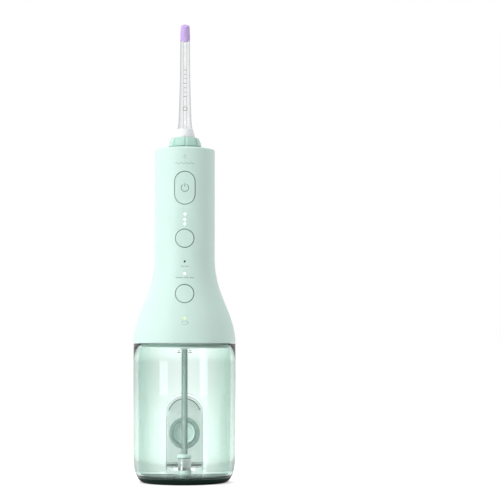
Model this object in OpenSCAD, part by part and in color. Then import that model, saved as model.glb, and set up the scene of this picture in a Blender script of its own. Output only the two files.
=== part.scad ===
// Cordless water flosser: a clear water tank stands under a slim handle that holds the motor, piston pump,
// battery and circuit board, with a pull-off nozzle on a turning collar.
// Millimetres. Origin at the centre of the underside, +Z up, the buttons face -Y.

/* [Handle] */
// Radius of the straight grip
grip_r = 20; // [19.5:0.1:20.5]
// Wall of the outer sleeve
sleeve_wall = 2.2; // [1.8:0.1:2.3]

/* [Buttons and lights] */
// Half the width of the long power button
power_half_w = 6.6; // [6.2:0.05:7.4]
// Height of the long power button
power_h = 21.5; // [20:0.5:24]
// Radius of the two round buttons
round_button_r = 5.9; // [5.5:0.1:6.8]
// Gap all round each button
button_gap = 0.4; // [0.3:0.05:0.6]
// Radius of the small indicator lights
light_r = 0.65; // [0.5:0.05:0.8]

/* [Tank] */
// Outside radius of the tank
tank_r = 34; // [33.8:0.1:34.2]
// Radius of the filling port
port_r = 8; // [7:0.1:8.2]
// Radius of the intake hose
hose_r = 2; // [1.8:0.1:2.2]
// Radius of the weight at the hose's end
weight_r = 4.35; // [4:0.05:4.6]

/* [Nozzle] */
// How far the tip leans towards the front, in degrees
tip_lean = 24; // [18:1:30]
// Radius of the water channel in the nozzle
channel_r = 1.3; // [0.9:0.05:1.5]
// Radius of the jet hole in the tip
jet_r = 0.45; // [0.3:0.05:0.6]
// Flutes round the collar
flutes = 8; // [6:1:12]

/* [Drive] */
// Teeth on the motor pinion
pinion_teeth = 10; // [10:2:10]
// Teeth on the crank gear
crank_teeth = 30; // [30:2:30]
// Throw of the eccentric
crank_throw = 2.75; // [2:0.05:2.75]

/* [Hidden] */
$fn = 144;

mint = [0.80, 0.91, 0.87];
clear_mint = [0.78, 0.90, 0.86, 0.4];
dark = [0.10, 0.16, 0.14];
steel = [0.75, 0.76, 0.78];
white_plastic = [0.93, 0.94, 0.94];
grey_plastic = [0.55, 0.57, 0.58];

door_y = 31.4;            // inner face of the filling door
hinge_y = 30.3;           // the door's hinge line
hinge_z = 11;
port_z = 31;
my = 2.5;                 // the motor, crank and pump share this plane
pump_z = 105.4;
pump_bore = 5;
crank_x = 12;
board_y = -11.4;          // front face of the circuit board
power_z = 194.5;
round_z = 161.2;
mode_z = 124.6;
mode_lean = 20.6;         // slope of the handle behind the mode button
mode_y = -24.62;          // the handle's surface there
level_z = [177.1, 173.6, 170.6];
cover_z = 131;            // the charging port
cover_y = 22.45;
cover_lean = 16.4;
bore_hose = hose_r - 0.8; // the hoses' bore, and the barbs they sit on
barb_r = bore_hose - 0.02;
post_xy = [[15, 15.5], [-15, 15.5], [18, -11], [-18, -11]];
boss_a = [60, 120, 240, 300];
head_x = -20.3;
board_pins = [[-9, 149.2], [9, 149.2], [-9, 200.9], [9, 200.9]];

function bz(t, a, b, c, d) = a*(1-t)*(1-t)*(1-t) + 3*b*t*(1-t)*(1-t) + 3*c*t*t*(1-t) + d*t*t*t;
// the handle's flare from its lower rim up to the straight grip, moved in by off
function flare(off) = [for (i = [0:15]) let (t = 0.966*(15 - i)/15)
  [bz(t, grip_r, grip_r, tank_r, tank_r) - off, bz(t, 150, 122, 114, 90)]];
// the tank's outside from the foot up to the rim, moved in by off
function tank_line(off) = [[31.2 - off, 3.6], [32.2 - off, 5.4], [33.1 - off, 8.7], [33.7 - off, 13], [tank_r - off, 18]];

module yrod(r, y0, y1, x = 0, z = 0) translate([x, y0, z]) rotate([-90, 0, 0]) cylinder(r = r, h = y1 - y0);
module xrod(r, x0, x1, y = 0, z = 0) translate([x0, y, z]) rotate([0, 90, 0]) cylinder(r = r, h = x1 - x0);
module zrod(r, z0, z1, x = 0, y = 0) translate([x, y, z0]) cylinder(r = r, h = z1 - z0);
module ztube(ro, ri, z0, z1, x = 0, y = 0) translate([x, y, z0]) difference() {
  cylinder(r = ro, h = z1 - z0);
  translate([0, 0, -1]) cylinder(r = ri, h = z1 - z0 + 2);
}
// a flat shape drawn in X and Z, standing between two Y planes
module yplate(y0, y1) translate([0, y1, 0]) rotate([90, 0, 0]) linear_extrude(height = y1 - y0) children();
module stadium(w, h) polygon(concat(
  [for (i = [0:24]) let (a = i*180/24) [w*cos(a), (h/2 - w) + w*sin(a)]],
  [for (i = [0:24]) let (a = 180 + i*180/24) [w*cos(a), -(h/2 - w) + w*sin(a)]]));
module arch(w, z0, zc) {
  translate([-w, z0]) square([2*w, zc - z0]);
  intersection() {
    translate([0, zc]) circle(r = w);
    translate([-w, zc - 0.01]) square([2*w, w + 1]);
  }
}
module handle_solid(off, top = 221.6) rotate_extrude() polygon(concat([[0, 92.394]], flare(off), [[grip_r - off, top], [0, top]]));
module tank_solid(off, top = 91) rotate_extrude() polygon(concat([[0, 3.6]], tank_line(off), [[tank_r - off, top], [0, top]]));
// corner points of a hose's route, each inner one rounded off over length q
function rounded(p, q) = concat([p[0]],
  [for (i = [1:1:len(p) - 2]) let (u = (p[i - 1] - p[i])/norm(p[i - 1] - p[i]), v = (p[i + 1] - p[i])/norm(p[i + 1] - p[i]))
    for (t = [0, 0.2, 0.4, 0.6, 0.8, 1]) p[i] + q*((1 - t)*(1 - t)*u + t*t*v)],
  [p[len(p) - 1]]);
function unit(v) = v/norm(v);
// a round tube swept along a route that never runs along side; ro and ri give its radii at each point
module sweep(p, ro, ri, side, n) {
  last = len(p) - 1;
  d = [for (i = [0:last]) i == 0 ? unit(p[1] - p[0]) : i == last ? unit(p[last] - p[last - 1])
    : unit(unit(p[i] - p[i - 1]) + unit(p[i + 1] - p[i]))];
  pts = [for (i = [0:last]) let (a = unit(cross(d[i], side)), b = cross(d[i], a))
    for (r = [ro[i], ri[i]]) for (k = [0:n - 1]) p[i] + r*(cos(360*k/n)*a + sin(360*k/n)*b)];
  w = 2*n;
  polyhedron(points = pts, faces = concat(
    [for (i = [0:last - 1]) for (k = [0:n - 1]) [i*w + k, i*w + (k + 1)%n, (i + 1)*w + (k + 1)%n, (i + 1)*w + k]],
    [for (i = [0:last - 1]) for (k = [0:n - 1]) [i*w + n + k, (i + 1)*w + n + k, (i + 1)*w + n + (k + 1)%n, i*w + n + (k + 1)%n]],
    [for (k = [0:n - 1]) [k, n + k, n + (k + 1)%n, (k + 1)%n]],
    [for (k = [0:n - 1]) [last*w + k, last*w + (k + 1)%n, last*w + n + (k + 1)%n, last*w + n + k]]));
}
module hose(p, side = [0, 1, 0]) sweep(p, [for (q = p) hose_r], [for (q = p) bore_hose + 0.03], side, 16);
module at_cover() translate([0, cover_y, cover_z]) rotate([cover_lean, 0, 0]) children();
module at_mode() translate([0, mode_y, mode_z]) rotate([-mode_lean, 0, 0]) children();
function inv(rb, r) = tan(acos(min(1, rb/r)))*180/PI - acos(min(1, rb/r));
// one involute gear outline; the teeth are a little thin so the pair runs with backlash
function tooth(n, m, ra, rr, th, a0) = let (rp = n*m/2, rb = rp*cos(20), h0 = th/(2*rp)*180/PI + inv(rb, rp))
  concat(
    [[rr, a0 - h0], [max(rb, rr + 0.01), a0 - h0]],
    [for (k = [1:4]) let (r = max(rb, rr + 0.01) + (ra - max(rb, rr + 0.01))*k/4) [r, a0 - h0 + inv(rb, r)]],
    [for (k = [4:-1:1]) let (r = max(rb, rr + 0.01) + (ra - max(rb, rr + 0.01))*k/4) [r, a0 + h0 - inv(rb, r)]],
    [[max(rb, rr + 0.01), a0 + h0], [rr, a0 + h0]]);
module gear(n, m, ra, rr, th, phase) {
  pts = [for (i = [0:n - 1]) for (p = tooth(n, m, ra, rr, th, phase + i*360/n)) [p[0]*cos(p[1]), p[0]*sin(p[1])]];
  polygon(pts);
}

// ---------------------------------------------------------------- tank

module tank_shell() color(clear_mint) difference() {
  union() {
    difference() {
      rotate_extrude() polygon(concat([[0, 2], [29.4, 2], [29.4, 3.6]], tank_line(0), [[tank_r, 91.6], [tank_r - 0.3, 92], [0, 92]]));
      rotate_extrude() polygon([[0, 4], [27, 4], [29.6, 5.5], [30.4, 8.5], [30.6, 20], [31, 92.5], [0, 92.5]]);
    }
    // the flat pad round the filling port
    intersection() {
      tank_solid(0.6, 80);
      yplate(27.4, 36) arch(15, 3.8, 43);
    }
  }
  // the pocket that takes the door's frame
  yplate(29.5, 40) arch(13.2, 3.8, 42.8);
  translate([-12.8, hinge_y - 1.4, hinge_z - 1.5]) cube([25.6, 2, 3]);
  yrod(port_r + 0.2, 26, 31, 0, port_z);
}

module base_foot() color(dark) rotate_extrude()
  polygon([[0, 0], [27.4, 0], [28.8, 0.7], [29.8, 1.6], [30.6, 2.6], [31.2, 3.6], [29.4, 3.6], [29.4, 2], [0, 2]]);

module door_frame() color(mint) difference() {
  union() {
    difference() {
      intersection() {
        tank_solid(0, 60);
        yplate(29.6, 31) arch(13, 4, 42.8);
      }
      // room for the door's knuckle
      translate([-7.3, 29, 7.7]) cube([14.6, 4, hinge_z - 6.1]);
    }
    intersection() {
      tank_solid(0, 60);
      union() {
        translate([-13, 29.6, 4]) cube([26, 6, 3.6]);
        for (s = [0, 1]) mirror([s, 0, 0]) xrod(1.2, 7.3, 12.6, hinge_y, hinge_z);
      }
    }
  }
  yrod(port_r, 26, 34, 0, port_z);
  xrod(0.7, -12.4, 12.4, hinge_y, hinge_z);
}

module door_hinge_pin() color(steel) xrod(0.7, -12.2, 12.2, hinge_y, hinge_z);

module fill_door() color(mint) difference() {
  union() {
    intersection() {
      tank_solid(0.05, 60);
      yplate(door_y, 36) difference() {
        arch(11.9, hinge_z, 42.7);
        // clear of the frame's knuckles
        for (s = [0, 1]) mirror([s, 0]) translate([7, 5]) square([8, hinge_z + 1.6 - 5]);
      }
    }
    xrod(1.2, -7, 7, hinge_y, hinge_z);
    translate([-6.9, hinge_y + 0.2, hinge_z + 0.1]) cube([13.8, 1.3, 1.4]);
  }
  xrod(0.78, -12, 12, hinge_y, hinge_z);
  // seat of the seal, and the finger lip at the top
  yrod(10.8, 31, 31.95, 0, port_z);
  translate([-4, 32.9, 52.6]) cube([8, 3, 3]);
}

module door_seal() color([0.86, 0.95, 0.92]) difference() {
  union() {
    yrod(10.7, 31.06, 31.95, 0, port_z);
    yrod(port_r - 0.2, 29, 31.5, 0, port_z);
  }
  yrod(port_r - 1.4, 28, 31.5, 0, port_z);
}

// ---------------------------------------------------------------- handle shell

module outer_sleeve() color(mint) difference() {
  union() {
    difference() {
      rotate_extrude() polygon(concat([[0, 92.394]], flare(0),
        [[grip_r, 220.4], [grip_r - 0.15, 221], [grip_r - 0.6, 221.45], [grip_r - 1.2, 221.6], [0, 221.6]]));
      rotate_extrude() polygon(concat([[0, 92], [tank_r - sleeve_wall - 0.05, 92]], flare(sleeve_wall),
        [[grip_r - sleeve_wall, 219.5], [18.2, 219.5], [18.2, 222], [0, 222]]));
    }
    intersection() {
      handle_solid(0.8, 150);
      for (a = boss_a) rotate(a) {
        zrod(3, 95, 104, 24);
        translate([24, -1.5, 95]) cube([9, 3, 9]);
      }
    }
    intersection() {
      handle_solid(0.4, 150);
      at_cover() translate([-7.6, -4.4, -7.4]) cube([15.2, 8, 14.8]);
    }
  }
  for (a = boss_a) rotate(a) zrod(1.25, 94, 102.5, 24);
  translate([0, 0, power_z]) yplate(-24, -12) stadium(power_half_w + button_gap, power_h + 2*button_gap);
  yrod(round_button_r + button_gap, -24, -12, 0, round_z);
  yrod(round_button_r + button_gap, -30, -14, 0, mode_z);
  for (z = concat(level_z, [145.9, 137.9, 108.5])) yrod(light_r + 0.05, -34, -12, 0, z);
  at_cover() {
    translate([-6, -2.4, -5.6]) cube([12, 8, 11.2]);
    yrod(3, -6, -2);
  }
}

module top_cap() color(mint) rotate_extrude()
  polygon([[7.6, 218.3], [10.5, 218.3], [10.5, 219.8], [16.2, 219.8], [16.2, 216.5], [17.7, 216.5], [17.7, 219.6], [18.1, 219.6],
    [18.1, 221.6], [17, 221.95], [14.5, 222.5], [11.8, 222.9], [7.6, 223]]);

module bulkhead() color(white_plastic) difference() {
  union() {
    zrod(31.5, 92.4, 95);
    difference() {
      zrod(30.6, 88.8, 92.4);
      zrod(27.3, 88, 92.4);
    }
    zrod(3.4, 86, 92.4);
    zrod(barb_r, 81.4, 86);
    zrod(3.2, 95, 99.6);
    xrod(barb_r, -5.4, 0, 0, 97.2);
    for (p = post_xy) zrod(2.6, 95, 114.6, p[0], p[1]);
  }
  ztube(32, 29.5, 89.8, 91.3);
  zrod(0.7, 80, 97.2);
  xrod(0.7, -6, 0, 0, 97.2);
  for (p = post_xy) zrod(1, 106, 115, p[0], p[1]);
  for (a = boss_a) rotate(a) zrod(1.5, 92, 96, 24);
}

module tank_seal() color(dark) rotate_extrude()
  polygon([[29.5, 89.9], [30.6, 89.9], [30.88, 90.2], [30.92, 90.55], [30.88, 90.9], [30.6, 91.2], [29.5, 91.2]]);

module screw(r, l, hr, hh) {
  translate([0, 0, -l]) cylinder(r = r, h = l);
  difference() {
    cylinder(r = hr, h = hh);
    translate([0, 0, hh*0.45]) cylinder(r = hr*0.5, h = hh, $fn = 6);
  }
}

module bulkhead_screws() color(steel) for (a = boss_a) rotate(a) translate([24, 0, 92.4]) mirror([0, 0, 1]) screw(1.24, 9.8, 2.4, 1.8);

module charge_cover() color([0.62, 0.75, 0.71]) difference() {
  intersection() {
    handle_solid(0.1, 150);
    at_cover() union() {
      translate([-5.6, -2.1, -4.2]) cube([11.2, 2, 9.4]);
      xrod(0.85, -5.6, 5.6, -1.15, -4.2);
      yrod(1.7, -3.4, -2);
    }
  }
  // the nail notch under the top edge
  at_cover() translate([-2.5, -0.9, 4.5]) cube([5, 3, 2]);
}

module charge_socket() color([0.12, 0.12, 0.13]) at_cover() {
  difference() {
    union() {
      yrod(2.98, -6.4, -2.4);
      yrod(3.8, -5.8, -4.42);
    }
    yrod(2.2, -5.6, -2);
  }
  yrod(0.6, -5.9, -3.8);
}

// ---------------------------------------------------------------- frame, battery and electronics

module chassis() color([0.86, 0.88, 0.88]) difference() {
  union() {
    zrod(24.4, 114.6, 116.6);
    for (s = [0, 1]) mirror([s, 0, 0]) {
      translate([12.5, 6, 116]) cube([1.5, 4, 86]);
      translate([6.6, -9.95, 147.4]) cube([4.4, 4.2, 2.6]);
      translate([6.6, -9.95, 199]) cube([4.4, 4.2, 3]);
      for (z = [164, 184]) translate([9.6, 6.2, z]) cube([3.4, 3.6, 3]);
    }
    zrod(17.3, 149.4, 150.8);
    zrod(17.3, 201, 202.4);
    for (z = [164, 184]) zrod(10.4, z, z + 3, 0, 7);
  }
  for (z = [163, 183]) zrod(9.3, z, z + 5, 0, 7);
  translate([-11.6, -30, 110]) cube([23.2, 20.05, 20]);
  translate([-20, -30, 140]) cube([40, 20.05, 70]);
  zrod(4.1, 114, 117, 0, my);
  zrod(1.52, 114, 117, crank_x, my);
  zrod(2.4, 114, 117, head_x, my);
  for (p = post_xy) zrod(1.3, 114, 117, p[0], p[1]);
  translate([-19, my - 2.6, 149]) cube([6.2, 5.2, 2]);
  translate([-19, my - 4.6, 200.5]) cube([6.2, 7.2, 2.2]);
  for (p = board_pins) yrod(0.78, -10.5, -7, p[0], p[1]);
}

module chassis_screws() color(steel) for (p = post_xy) translate([p[0], p[1], 116.6]) screw(0.99, 9, 2.1, 1.5);

module motor_can() color([0.72, 0.73, 0.74]) difference() {
  union() {
    zrod(12.2, 117, 144, 0, my);
    zrod(4, 114.8, 117, 0, my);
  }
  zrod(11.4, 118.4, 145, 0, my);
  zrod(1.06, 114, 119, 0, my);
}

module motor_magnets() color([0.25, 0.25, 0.27]) difference() {
  ztube(11.38, 9.3, 120, 140, 0, my);
  translate([-1.6, my - 13, 119]) cube([3.2, 26, 22]);
}

module motor_end_cap() color([0.15, 0.15, 0.17]) difference() {
  union() {
    zrod(12.2, 144, 145.6, 0, my);
    zrod(11.38, 142.6, 144, 0, my);
  }
  zrod(1.06, 142, 146, 0, my);
  for (s = [-1, 1]) translate([s*7 - 1, my - 0.3, 142]) cube([2, 0.6, 4]);
}

module battery_cell() color([0.25, 0.45, 0.75]) union() {
  zrod(9.1, 151.2, 199.6, 0, 7);
  zrod(3, 199.6, 200.4, 0, 7);
}

module battery_tabs() color(steel) {
  translate([-2, -9.9, 150.85]) cube([4, 20, 0.3]);
  translate([-2, -9.9, 200.45]) cube([4, 20, 0.3]);
}

module circuit_board() color([0.10, 0.38, 0.22]) difference() {
  translate([-11, board_y, 101]) cube([22, 1.4, 110]);
  for (p = board_pins) yrod(0.9, -12, -9.5, p[0], p[1]);
}

module board_screws() color(steel) for (p = board_pins) translate([p[0], board_y, p[1]]) rotate([90, 0, 0]) screw(0.77, 4.2, 1.5, 0.9);

module tact_switches() color([0.2, 0.2, 0.21]) for (z = [power_z, round_z, mode_z]) {
  translate([-3, board_y - 1.6, z - 3]) cube([6, 1.6, 6]);
  yrod(1.6, board_y - 1.95, board_y - 1.5, 0, z);
}

module led_chips() color([0.95, 0.94, 0.85]) for (z = concat(level_z, [145.9, 137.9, 108.5])) translate([-0.8, board_y - 0.8, z - 0.6]) cube([1.6, 0.8, 1.2]);

module control_chip() color([0.08, 0.08, 0.09]) translate([-3.5, board_y - 1, 149]) cube([7, 1, 7]);

module keypad_seal() color([0.42, 0.52, 0.50]) difference() {
  union() {
    translate([-9.3, -14.2, 116.8]) cube([18.6, 0.7, 92.4]);
    for (x = [-8.4, 8.4]) for (z = [119, 154, 180, 207]) yrod(0.7, -14, board_y, x, z);
  }
  for (z = concat(level_z, [145.9, 137.9])) yrod(light_r + 0.1, -15, -13, 0, z);
}

module light(z, y1 = -12.4) intersection() {
  handle_solid(0.05, 215);
  yrod(light_r, -34, y1, 0, z);
}
module white_lights() color([1, 1, 1]) for (z = concat(level_z, [137.9])) light(z);
module unlit_light() color([0.25, 0.32, 0.30]) light(145.9);
module battery_light() color([0.75, 0.95, 0.35]) light(108.5);

// ---------------------------------------------------------------- buttons

module power_button() color([0.80, 0.90, 0.86]) difference() {
  union() {
    intersection() {
      translate([0, 0, power_z]) yplate(-21, -15) stadium(power_half_w, power_h);
      zrod(40, 170, 220, 0, 20.3);
    }
    translate([0, 0, power_z]) yplate(-15.6, -15) stadium(power_half_w + 0.7, power_h + 1.4);
  }
  // the power mark
  difference() {
    translate([0, 0, power_z]) yplate(-21, -19.5) difference() {
      circle(r = 2.7);
      circle(r = 2.25);
      translate([-0.8, 1]) square([1.6, 3]);
    }
  }
  translate([-0.22, -21, power_z + 0.6]) cube([0.44, 1.5, 2.4]);
}

module intensity_button() color([0.80, 0.90, 0.86]) union() {
  intersection() {
    yrod(round_button_r, -21, -15, 0, round_z);
    zrod(40, 140, 180, 0, 20.3);
  }
  yrod(round_button_r + 0.7, -15.6, -15, 0, round_z);
}

module mode_button() color([0.80, 0.90, 0.86]) union() {
  intersection() {
    yrod(round_button_r, -29, -18, 0, mode_z);
    at_mode() translate([0, 40.15, -40]) cylinder(r = 40, h = 80);
  }
  yrod(round_button_r + 0.7, -18.1, -17.4, 0, mode_z);
  yrod(2, -18, -15, 0, mode_z);
}

// ---------------------------------------------------------------- pump and drive

module pump_cylinder() color(white_plastic) difference() {
  union() {
    xrod(pump_bore + 1.1, -17, -4.2, my, pump_z);
    intersection() {
      xrod(9.4, -17, -14.6, my, pump_z);
      translate([-18, -20, 99.35]) cube([4, 40, 13]);
    }
    translate([-14.6, my - 5, 109.5]) cube([9.4, 10, 5.1]);
  }
  xrod(pump_bore, -18, -4, my, pump_z);
  for (sy = [-6.2, 6.2]) for (sz = [-4.6, 4.6]) xrod(0.85, -18, -14, my + sy, pump_z + sz);
}

module pump_head() color([0.82, 0.84, 0.85]) difference() {
  union() {
    xrod(6, -23.6, -17, my, pump_z);
    intersection() {
      xrod(9.4, -19.5, -17, my, pump_z);
      translate([-20, -20, 99.35]) cube([4, 40, 13]);
    }
    zrod(2.7, 95.3, 113.9, head_x, my);
    xrod(barb_r, head_x, -13.6, my, 97.2);
    zrod(barb_r, 113.8, 116.6, head_x, my);
  }
  xrod(0.75, head_x, -13, my, 97.2);
  zrod(0.75, 97.2, 101, head_x, my);
  zrod(2.2, pump_z - 5, pump_z - 1, head_x, my);
  zrod(0.9, pump_z - 1.5, pump_z + 1.5, head_x, my);
  zrod(2.2, pump_z + 1, pump_z + 5, head_x, my);
  zrod(0.75, pump_z + 4.5, 118, head_x, my);
  xrod(1.2, head_x, -16, my, pump_z);
  for (sy = [-6.2, 6.2]) for (sz = [-4.6, 4.6]) xrod(1, -20, -16, my + sy, pump_z + sz);
}

module head_screws() color(steel) for (sy = [-6.2, 6.2]) for (sz = [-4.6, 4.6])
  translate([-19.5, my + sy, pump_z + sz]) rotate([0, -90, 0]) screw(0.84, 4.7, 1.5, 1.2);

module valve(z) translate([head_x, my, z]) difference() {
  union() {
    cylinder(r = 2.15, h = 1.2);
    translate([0, 0, 1.1]) cylinder(r1 = 1.7, r2 = 0.9, h = 2.4);
  }
  translate([0, 0, -1]) cylinder(r = 0.7, h = 3);
  translate([-0.12, -1, 1]) cube([0.24, 2, 4]);
}
module pump_valves() color([0.75, 0.78, 0.80]) for (z = [-4.95, 1.05]) valve(pump_z + z);

module gear_axle() color(steel) union() {
  zrod(1.5, 101.6, 116.6, crank_x, my);
  zrod(2.4, 101.6, 102.4, crank_x, my);
}

module axle_washer() color(steel) ztube(6.4, 1.52, 102.42, 103.2, crank_x, my);

module inlet_tube() color([0.88, 0.92, 0.92])
  hose(rounded([[-3.4, 0, 97.2], [-7, 0, 97.2], [-13.5, my, 97.2], [-17.4, my, 97.2]], 1.5), [0, 0, 1]);

module outlet_tube() color([0.88, 0.92, 0.92])
  hose(rounded([[head_x, my, 114.1], [head_x, my, 119.5], [-15, my, 136], [-15, my, 184], [-15, 0, 197], [-15, 0, 204.5], [-8.8, 0, 204.5]], 2.6));

module motor_shaft() color(steel) zrod(1, 110.6, 144.8, 0, my);

module motor_armature() color([0.72, 0.45, 0.25]) difference() {
  zrod(9, 121, 138, 0, my);
  zrod(1, 120, 139, 0, my);
  for (a = [0, 120, 240]) translate([0, my, 120]) rotate(a + 60) translate([5, -1, 0]) cube([6, 2, 19]);
}

module drive_pinion() color([0.85, 0.72, 0.35]) difference() {
  translate([0, my, 110.7]) linear_extrude(height = 3.5) gear(pinion_teeth, 0.6, 3.5, 2.2, 0.82, 0);
  zrod(1, 110, 115, 0, my);
}

module crank_gear() color([0.95, 0.95, 0.92]) difference() {
  union() {
    translate([crank_x, my, 110.9]) linear_extrude(height = 2.9) gear(crank_teeth, 0.6, 9.5, 8.25, 0.82, 180/crank_teeth);
    zrod(5, 103.5, 111, crank_x - crank_throw, my);
    zrod(3, 113.7, 114.3, crank_x, my);
  }
  zrod(1.55, 103, 115, crank_x, my);
}

module connecting_rod() color([0.88, 0.88, 0.86]) difference() {
  union() {
    zrod(7.2, pump_z - 1.5, pump_z + 1.5, crank_x - crank_throw, my);
    translate([-7.4, my - 1, pump_z - 1]) cube([12, 2, 2]);
    zrod(1, pump_z - 1, pump_z + 1, -7.4, my);
  }
  zrod(5.08, 103, 109, crank_x - crank_throw, my);
}

module piston() color([0.92, 0.92, 0.90]) difference() {
  xrod(pump_bore - 0.07, -16.5, -4, my, pump_z);
  xrod(pump_bore - 0.9, -14.5, -3, my, pump_z);
  difference() {
    xrod(6, -15.9, -15.1, my, pump_z);
    xrod(pump_bore - 0.6, -17, -14, my, pump_z);
  }
}

module piston_seal() color(dark) difference() {
  xrod(pump_bore - 0.05, -15.9, -15.1, my, pump_z);
  xrod(pump_bore - 0.6, -17, -14, my, pump_z);
}

// ---------------------------------------------------------------- nozzle end

module nozzle_socket() color(white_plastic) difference() {
  union() {
    zrod(6.2, 202.4, 213.5);
    xrod(barb_r, -10.4, 0, 0, 204.5);
  }
  zrod(3.6, 206, 214);
  zrod(1.5, 204.5, 207);
  ztube(4.9, 3, 209, 211);
  xrod(0.75, -11, 0, 0, 204.5);
}

module socket_seal() color(dark) ztube(4.9, 3.55, 209, 211);

module nozzle_collar() color(mint) difference() {
  rotate_extrude() polygon([[3.65, 214], [7.5, 214], [7.5, 217.1], [6.9, 217.1], [6.9, 218.1], [7.5, 218.1], [7.5, 223.35], [10.7, 223.35],
    [11, 223.7], [10.95, 224.3], [10.6, 225.6], [10.1, 227], [9.5, 228.4], [9.1, 229.1], [8.6, 229.3], [4.75, 229.3], [4.75, 225.2], [3.65, 225.2]]);
  for (i = [0:flutes - 1]) rotate(-87 + i*360/flutes) translate([11.55, 0, 222.8]) rotate([0, -16.5, 0]) cylinder(r = 0.8, h = 9);
}

module collar_clip() color(steel) difference() {
  ztube(9, 6.92, 217.3, 217.9);
  translate([-5, 0, 217]) cube([10, 12, 2]);
}

module nozzle_base() color([0.94, 0.95, 0.95, 0.8]) difference() {
  rotate_extrude() polygon([[0, 206.5], [3.1, 206.5], [3.5, 207], [3.5, 225.5], [4.6, 225.5], [4.6, 229.5], [6.7, 229.5], [6.8, 229.9],
    [6.55, 231.2], [6.1, 232.8], [5.6, 234.2], [5.15, 235.4], [0, 235.4]]);
  zrod(channel_r, 206, 232);
  zrod(2.6, 231, 236);
}

// the nozzle's centre line: straight up, round a bend of radius 16, then straight along the tip
function bent(a, l = 0) = [0, -16 + 16*cos(a) - l*sin(a), 291 + 16*sin(a) + l*cos(a)];

module nozzle_tube() color([0.92, 0.96, 0.97, 0.4]) {
  // height and outside radius up the straight part
  line = [[231, 2.58], [235.4, 2.58], [235.41, 5.1], [236.3, 4.85], [237.4, 4.63], [239.2, 4.44], [241.4, 4.3], [246.7, 4.07], [252, 3.9],
    [262.7, 3.57], [268, 3.43], [281.4, 3.33], [291, 3.25]];
  arc = [for (a = [3.1, 6.2, 9.3, 12.4, 15.4, 15.5]) a];
  sweep(concat([for (q = line) [0, 0, q[0]]], [for (a = arc) bent(a)]),
    concat([for (q = line) q[1]], [for (a = arc) 3.25]),
    [for (i = [1:len(line) + len(arc)]) channel_r], [1, 0, 0], 32);
}

module nozzle_tip() color([0.80, 0.72, 0.92]) {
  // angle round the bend, length past it, outside radius, inside radius
  line = [[15.5, 0, 3.34, channel_r], [15.6, 0, 3.34, channel_r], [18.3, 0, 3.36, channel_r], [21.2, 0, 3.34, channel_r], [tip_lean, 0, 3.32, channel_r],
    [tip_lean, 3, 3.2, channel_r], [tip_lean, 5, 3.12, channel_r], [tip_lean, 5.6, 3.1, jet_r], [tip_lean, 7, 3.02, jet_r],
    [tip_lean, 7.6, 2.84, jet_r], [tip_lean, 7.95, 2.5, jet_r], [tip_lean, 8.09, 2.0, jet_r]];
  sweep([for (q = line) bent(q[0], q[1])], [for (q = line) q[2]], [for (q = line) q[3]], [1, 0, 0], 32);
}

// ---------------------------------------------------------------- intake hose

module intake_hose_upper() color([0.90, 0.93, 0.92]) ztube(hose_r, bore_hose, 80.3, 86);
module intake_hose_middle() color([0.90, 0.93, 0.92]) ztube(hose_r, bore_hose, 62, 79.7);
module intake_hose_lower() color([0.90, 0.93, 0.92]) ztube(hose_r, bore_hose, 16.9, 61.4);

module hose_cap() color(mint) difference() {
  union() {
    zrod(weight_r + 0.25, 16.2, 18);
    translate([0, 0, 18]) cylinder(r1 = weight_r + 0.25, r2 = weight_r - 0.8, h = 0.8);
  }
  zrod(hose_r + 0.02, 16.9, 20);
  zrod(bore_hose, 15, 18);
}

module intake_weight() color(steel) ztube(weight_r, bore_hose, 9, 16.2);

module intake_filter() color(mint) difference() {
  union() {
    translate([0, 0, 4.8]) cylinder(r1 = weight_r - 0.4, r2 = weight_r + 0.3, h = 1.6);
    zrod(weight_r + 0.3, 6.4, 9);
  }
  zrod(bore_hose, 4, 10);
  zrod(2.6, 4, 7);
  for (a = [0, 90]) rotate(a) translate([-6, -0.5, 4]) cube([12, 1, 2.2]);
}

tank_shell();
base_foot();
door_frame();
door_hinge_pin();
fill_door();
door_seal();
outer_sleeve();
top_cap();
bulkhead();
tank_seal();
bulkhead_screws();
chassis();
chassis_screws();
motor_can();
motor_magnets();
motor_end_cap();
battery_cell();
battery_tabs();
circuit_board();
board_screws();
tact_switches();
led_chips();
control_chip();
keypad_seal();
white_lights();
unlit_light();
battery_light();
pump_cylinder();
pump_head();
head_screws();
pump_valves();
gear_axle();
axle_washer();
inlet_tube();
outlet_tube();
nozzle_socket();
socket_seal();
charge_socket();
intake_hose_upper();
nozzle_collar();
collar_clip();
nozzle_base();
nozzle_tube();
nozzle_tip();
power_button();
intensity_button();
mode_button();
charge_cover();
intake_hose_middle();
intake_hose_lower();
hose_cap();
intake_weight();
intake_filter();
motor_shaft();
motor_armature();
drive_pinion();
crank_gear();
connecting_rod();
piston();
piston_seal();
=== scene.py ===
import math

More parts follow.
